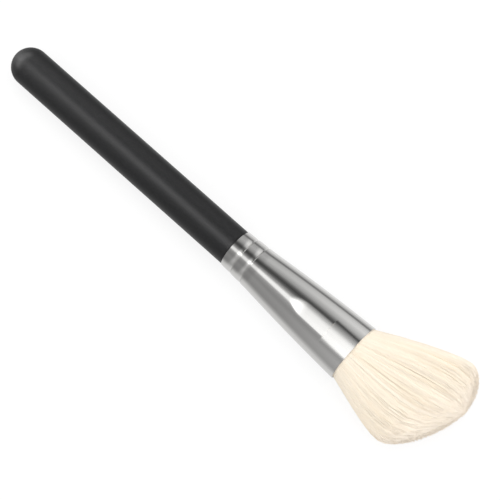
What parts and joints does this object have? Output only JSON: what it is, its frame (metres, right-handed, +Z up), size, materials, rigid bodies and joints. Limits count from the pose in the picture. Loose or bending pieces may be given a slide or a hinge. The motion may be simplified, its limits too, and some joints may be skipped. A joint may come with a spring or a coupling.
{
  "type": "makeup brush",
  "caption": "Flat-oval powder brush with a round handle, a crimped metal ferrule and an angled, fanned tuft of soft fibres.",
  "frame": {"origin": "centre of the overall box, on the surface that the brush lies on", "axes": "+X along the brush from the handle's butt to the tuft, +Z up out of the broad side, +Y towards the tuft's long side"},
  "size_m": [0.1716, 0.034, 0.0172],
  "materials": {
    "lacquered_wood": "satin black lacquer",
    "plated_metal": "polished",
    "fibre": "soft cream fibres",
    "set_glue": "clear amber epoxy"
  },
  "bodies": {
    "root": {"handle": "lacquered_wood", "ferrule": "plated_metal", "hair_tuft": "fibre", "root_glue": "set_glue", "handle_glue": "set_glue"}
  },
  "joints": []
}
